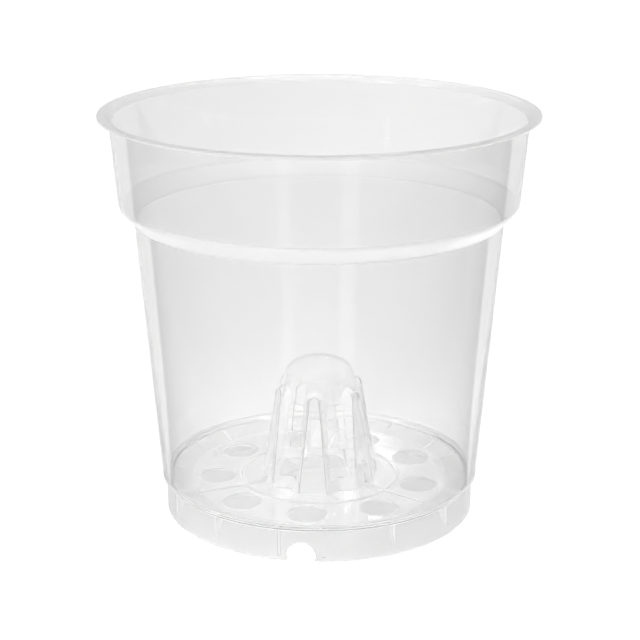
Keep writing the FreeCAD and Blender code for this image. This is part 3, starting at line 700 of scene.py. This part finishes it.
def check_closed(piece):
    """Raises an error unless a piece is closed and its faces point outwards."""
    maker = bmesh.new()
    maker.from_mesh(piece.data)
    open_edges = sum(not edge.is_manifold for edge in maker.edges)
    volume = maker.calc_volume(signed=True)
    maker.free()
    if open_edges or volume <= 0:
        raise RuntimeError(f"{piece.name} has {open_edges} open edges and a volume of {volume}")


# Materials


def add_node(tree, kind, **settings):
    """Adds a node with its settings to a material, a world or a group."""
    node = tree.nodes.new(kind)
    for setting, value in settings.items():
        setattr(node, setting, value)
    return node


def clear_plastic(look):
    """Makes the clear plastic: slow waves in the wall, duller flow marks and milky edges."""
    material = bpy.data.materials.new("clear_plastic")
    material.use_nodes = True
    tree = material.node_tree
    tree.nodes.clear()
    place = add_node(tree, "ShaderNodeTexCoord")
    waves = add_node(tree, "ShaderNodeTexNoise")
    waves.inputs["Scale"].default_value = 1 / look.wave_size
    waves.inputs["Detail"].default_value = look.wave_detail
    bump = add_node(tree, "ShaderNodeBump")
    bump.inputs["Distance"].default_value = look.wave_height
    bump.inputs["Strength"].default_value = 1.0
    marks = add_node(tree, "ShaderNodeTexNoise")
    marks.inputs["Scale"].default_value = look.marks_in_wave / look.wave_size
    marks.inputs["Detail"].default_value = look.mark_detail
    dullness = add_node(tree, "ShaderNodeMapRange")
    dullness.inputs["From Min"].default_value = look.mark_low
    dullness.inputs["From Max"].default_value = look.mark_high
    dullness.inputs["To Min"].default_value = look.smooth
    dullness.inputs["To Max"].default_value = look.dull
    plastic = add_node(tree, "ShaderNodeBsdfPrincipled")
    plastic.inputs["Base Color"].default_value = (*look.tint, 1)
    plastic.inputs["IOR"].default_value = look.ior
    plastic.inputs["Transmission Weight"].default_value = look.clear
    milk = add_node(tree, "ShaderNodeBsdfPrincipled")
    milk.inputs["Base Color"].default_value = (*look.tint, 1)
    milk.inputs["Roughness"].default_value = look.milk_rough
    lit_through = add_node(tree, "ShaderNodeBsdfTranslucent")
    lit_through.inputs["Color"].default_value = (*look.tint, 1)
    milky = add_node(tree, "ShaderNodeMixShader")
    milky.inputs["Fac"].default_value = look.through
    mark = add_node(tree, "ShaderNodeAttribute", attribute_name="edge_mark")
    share = add_node(tree, "ShaderNodeMath", operation="MULTIPLY")
    share.inputs[1].default_value = look.edge_milk
    body = add_node(tree, "ShaderNodeMixShader")
    clear = add_node(tree, "ShaderNodeBsdfTransparent")
    clear.inputs["Color"].default_value = (*look.tint, 1)
    path = add_node(tree, "ShaderNodeLightPath")
    mix = add_node(tree, "ShaderNodeMixShader")
    output = add_node(tree, "ShaderNodeOutputMaterial")
    link = tree.links.new
    link(place.outputs["Object"], waves.inputs["Vector"])
    link(place.outputs["Object"], marks.inputs["Vector"])
    link(waves.outputs["Fac"], bump.inputs["Height"])
    link(bump.outputs["Normal"], plastic.inputs["Normal"])
    link(marks.outputs["Fac"], dullness.inputs["Value"])
    link(dullness.outputs["Result"], plastic.inputs["Roughness"])
    link(path.outputs["Is Shadow Ray"], mix.inputs["Fac"])
    link(mark.outputs["Fac"], share.inputs[0])
    link(share.outputs["Value"], body.inputs["Fac"])
    link(plastic.outputs["BSDF"], body.inputs[1])
    link(milk.outputs["BSDF"], milky.inputs[1])
    link(lit_through.outputs["BSDF"], milky.inputs[2])
    link(milky.outputs["Shader"], body.inputs[2])
    link(body.outputs["Shader"], mix.inputs[1])
    link(clear.outputs["BSDF"], mix.inputs[2])
    link(mix.outputs["Shader"], output.inputs["Surface"])
    return material


# Stage


class ORCHID_OT_set_stage(Operator):
    """Set the pale floor, the studio light and the camera"""
    bl_idname = "orchid.set_stage"
    bl_label = "Set Stage"

    def execute(self, context):
        stage = context.scene.orchid_stage
        make_floor(stage)
        make_world(context.scene, stage)
        make_camera(context.scene, stage)
        view = context.scene.view_settings
        view.view_transform = "Standard"
        cycles = context.scene.cycles
        cycles.max_bounces = CLEAR_BOUNCES
        cycles.transmission_bounces = CLEAR_BOUNCES
        cycles.glossy_bounces = GLOSSY_BOUNCES
        return {"FINISHED"}


# Floor tones by direction from the pot, counted in degrees from the camera's side: painted shade at the sides and
# in front (dark sheets where the studio is in shade, seen in the pot's walls), two pale painted strips that the
# walls show as streaks of reflected light, and pale floor behind the pot
PAINTED_FLOOR_LIGHT_AND_SHADE = (
    (-180, 0.75), (-131, 0.75), (-127, 0.17), (-60, 0.21), (-22, 0.2), (-19, 0.6), (-16, 0.6), (-13, 0.2),
    (10, 0.2), (12, 0.6), (18, 0.6), (21, 0.18), (60, 0.14), (127, 0.16), (131, 0.75), (180, 0.75),
)


def floor_painted_light_group(stage):
    """Makes a node group that gives the floor's painted light and shade: painted shade at the sides and in front,
    pale painted strips, pale floor behind and a painted shadow under the pot.
    """
    tree = bpy.data.node_groups.new("floor_painted_light_and_shade", "ShaderNodeTree")
    tree.interface.new_socket("Paleness", in_out="OUTPUT", socket_type="NodeSocketFloat")
    place = add_node(tree, "ShaderNodeTexCoord")
    turn = add_node(tree, "ShaderNodeVectorRotate", rotation_type="Z_AXIS")
    turn.inputs["Angle"].default_value = -stage.azimuth
    parts = add_node(tree, "ShaderNodeSeparateXYZ")
    away = add_node(tree, "ShaderNodeMath", operation="MULTIPLY")
    away.inputs[1].default_value = -1
    aside = add_node(tree, "ShaderNodeClamp")
    aside.inputs["Min"].default_value = -stage.sheet_radius
    aside.inputs["Max"].default_value = stage.sheet_radius
    behind = add_node(tree, "ShaderNodeMath", operation="GREATER_THAN")
    behind.inputs[1].default_value = -stage.sheet_radius / 2
    shift = add_node(tree, "ShaderNodeMath", operation="MULTIPLY")
    beside = add_node(tree, "ShaderNodeMath", operation="SUBTRACT")
    direction = add_node(tree, "ShaderNodeMath", operation="ARCTAN2")
    share = add_node(tree, "ShaderNodeMapRange")
    share.inputs["From Min"].default_value = -math.pi
    share.inputs["From Max"].default_value = math.pi
    ramp = add_node(tree, "ShaderNodeValToRGB")
    tones = ramp.color_ramp.elements
    while len(tones) < len(PAINTED_FLOOR_LIGHT_AND_SHADE):
        tones.new(0.5)
    for element, (degrees, tone) in zip(tones, PAINTED_FLOOR_LIGHT_AND_SHADE):
        element.position = degrees / 360 + 0.5
        element.color = (tone, tone, tone, 1)
    # Painted shadow: within the sheet's radius the floor takes the darker tone painted under the pot
    reach = add_node(tree, "ShaderNodeVectorMath", operation="LENGTH")
    near = add_node(tree, "ShaderNodeMapRange", interpolation_type="SMOOTHSTEP")
    near.inputs["From Min"].default_value = stage.sheet_radius
    near.inputs["From Max"].default_value = stage.sheet_radius + stage.sheet_soft
    near.inputs["To Min"].default_value = 1
    near.inputs["To Max"].default_value = 0
    mix = add_node(tree, "ShaderNodeMix")
    mix.inputs["B"].default_value = stage.painted_shadow_tone
    output = add_node(tree, "NodeGroupOutput")
    link = tree.links.new
    link(place.outputs["Object"], turn.inputs["Vector"])
    link(turn.outputs["Vector"], parts.inputs["Vector"])
    link(parts.outputs["Y"], away.inputs[0])
    link(parts.outputs["X"], aside.inputs["Value"])
    link(parts.outputs["Y"], behind.inputs[0])
    link(aside.outputs["Result"], shift.inputs[0])
    link(behind.outputs["Value"], shift.inputs[1])
    link(parts.outputs["X"], beside.inputs[0])
    link(shift.outputs["Value"], beside.inputs[1])
    link(beside.outputs["Value"], direction.inputs[0])
    link(away.outputs["Value"], direction.inputs[1])
    link(direction.outputs["Value"], share.inputs["Value"])
    link(share.outputs["Result"], ramp.inputs["Fac"])
    link(place.outputs["Object"], reach.inputs["Vector"])
    link(reach.outputs["Value"], near.inputs["Value"])
    link(near.outputs["Result"], mix.inputs["Factor"])
    link(ramp.outputs["Color"], mix.inputs["A"])
    link(mix.outputs["Result"], output.inputs["Paleness"])
    return tree


def make_floor(stage):
    """Makes the floor: a clean backdrop to the camera, and to the pot its painted light and shade, with a painted
    shadow under the pot.
    """
    maker = bmesh.new()
    bmesh.ops.create_grid(maker, x_segments=1, y_segments=1, size=stage.floor_size / 2)
    floor = new_piece("floor", maker)
    floor.data.transform(Matrix.Translation((0, 0, -stage.floor_drop)))
    material = bpy.data.materials.new("pale_floor")
    material.use_nodes = True
    tree = material.node_tree
    surface = tree.nodes["Principled BSDF"]
    surface.inputs["Roughness"].default_value = 1.0
    surface.inputs["Specular IOR Level"].default_value = 0.0
    tones = add_node(tree, "ShaderNodeGroup", node_tree=floor_painted_light_group(stage))
    tree.links.new(tones.outputs["Paleness"], surface.inputs["Base Color"])
    backdrop = add_node(tree, "ShaderNodeEmission")
    backdrop.inputs["Strength"].default_value = stage.backdrop
    path = add_node(tree, "ShaderNodeLightPath")
    mix = add_node(tree, "ShaderNodeMixShader")
    tree.links.new(path.outputs["Is Camera Ray"], mix.inputs["Fac"])
    tree.links.new(surface.outputs["BSDF"], mix.inputs[1])
    tree.links.new(backdrop.outputs["Emission"], mix.inputs[2])
    tree.links.new(mix.outputs["Shader"], tree.nodes["Material Output"].inputs["Surface"])
    floor.data.materials.append(material)


# Softboxes: name, direction from the camera's side and elevation in degrees, distance, width, height, power
SOFTBOXES = (
    ("top_softbox", 180, 82, 2600, 2000, 2000, 22.0),
    ("back_tube_low", 176, 46, 2600, 420, 60, 1.1),
    ("back_tube_high", 168, 56, 2600, 300, 50, 0.6),
    ("back_panel", 180, 24, 2600, 4400, 900, 2.5),
    ("window_high", 177.5, 19.2, 2600, 60, 36, 0.08),
    ("window_middle", 176.5, 19.9, 2600, 40, 30, 0.04),
    ("window_low", 178.0, 21.5, 2600, 60, 36, 0.08),
    ("left_pane_side", -66, 26, 2400, 400, 300, 6.0),
    ("left_pane_low", -40, 24, 2400, 400, 300, 7.5),
    ("left_pane_high", -36, 44, 2400, 400, 300, 7.5),
    ("front_pane_low", 12, 24, 2400, 300, 300, 6.0),
    ("front_pane_high", 18, 42, 2400, 300, 300, 6.0),
    ("right_pane", 100, 24, 2400, 300, 300, 2.5),
)


def make_softbox(stage, name, direction, elevation, distance, width, height, power):
    """Makes a glowing flat lamp at a direction and a distance, aimed at the middle of the pot."""
    data = bpy.data.lights.new(name, "AREA")
    data.shape = "RECTANGLE"
    data.size = width * MM
    data.size_y = height * MM
    data.energy = power
    lamp = bpy.data.objects.new(name, data)
    swing = Matrix.Rotation(stage.azimuth + math.radians(direction), 4, "Z")
    lift = Matrix.Rotation(math.radians(90 - elevation), 4, "X")
    middle = Matrix.Translation((0, 0, LIP_HIGH.z / 2 * MM))
    lamp.matrix_world = middle @ swing @ lift @ Matrix.Translation((0, 0, distance * MM))
    bpy.context.scene.collection.objects.link(lamp)


def make_world(scene, stage):
    """Makes the studio round the floor, as clean as the backdrop to the camera, and its softboxes."""
    world = bpy.data.worlds.new("studio")
    world.use_nodes = True
    tree = world.node_tree
    background = tree.nodes["Background"]
    background.inputs["Color"].default_value = (1, 1, 1, 1)
    path = add_node(tree, "ShaderNodeLightPath")
    strength = add_node(tree, "ShaderNodeMapRange")
    strength.inputs["To Min"].default_value = stage.sky
    strength.inputs["To Max"].default_value = stage.backdrop
    tree.links.new(path.outputs["Is Camera Ray"], strength.inputs["Value"])
    tree.links.new(strength.outputs["Result"], background.inputs["Strength"])
    scene.world = world
    for softbox in SOFTBOXES:
        make_softbox(stage, *softbox)


def make_camera(scene, stage):
    """Makes the camera at the viewing angle of the picture."""
    data = bpy.data.cameras.new("camera")
    data.sensor_width = FILM_WIDTH
    data.lens = stage.focal_pixels / PHOTO_WIDTH * data.sensor_width
    data.shift_x = (PHOTO_WIDTH / 2 - stage.axis_pixel) / PHOTO_WIDTH
    data.clip_start = NEAR_CLIP
    camera = bpy.data.objects.new("camera", data)
    place = Matrix.Rotation(stage.azimuth, 4, "Z") @ Matrix.Translation((0, -stage.distance, stage.rise))
    camera.matrix_world = place @ Matrix.Rotation(math.pi / 2 - stage.pitch, 4, "X")
    scene.collection.objects.link(camera)
    scene.camera = camera


# Panel and registration


STEPS = (
    ORCHID_OT_turn_pot,
    ORCHID_OT_raise_staves,
    ORCHID_OT_hollow_cone,
    ORCHID_OT_cut_slots,
    ORCHID_OT_drill_drains,
    ORCHID_OT_cut_notches,
    ORCHID_OT_add_ribs,
    ORCHID_OT_finish_pot,
    ORCHID_OT_set_stage,
)

GROUPS = {
    "orchid_wall": OrchidWallSizes,
    "orchid_floor": OrchidFloorSizes,
    "orchid_cone": OrchidConeSizes,
    "orchid_meshing": OrchidMeshing,
    "orchid_plastic": OrchidPlastic,
    "orchid_stage": OrchidStage,
}


class ORCHID_PT_pot(Panel):
    """Lists the steps that make the pot, and its sizes"""
    bl_label = "Orchid Pot"
    bl_idname = "ORCHID_PT_pot"
    bl_space_type = "VIEW_3D"
    bl_region_type = "UI"
    bl_category = "Orchid Pot"

    def draw(self, context):
        for step in STEPS:
            self.layout.operator(step.bl_idname)
        for group_name, group in GROUPS.items():
            box = self.layout.box()
            for size in group.__annotations__:
                box.prop(getattr(context.scene, group_name), size)


CLASSES = (*GROUPS.values(), *STEPS, ORCHID_PT_pot)


def register():
    for item in CLASSES:
        bpy.utils.register_class(item)
    for name, group in GROUPS.items():
        setattr(bpy.types.Scene, name, PointerProperty(type=group))


def unregister():
    for name in GROUPS:
        delattr(bpy.types.Scene, name)
    for item in reversed(CLASSES):
        bpy.utils.unregister_class(item)


def main():
    register()
    for step in STEPS:
        group, name = step.bl_idname.split(".")
        getattr(getattr(bpy.ops, group), name)()


if __name__ == "__main__":
    main()
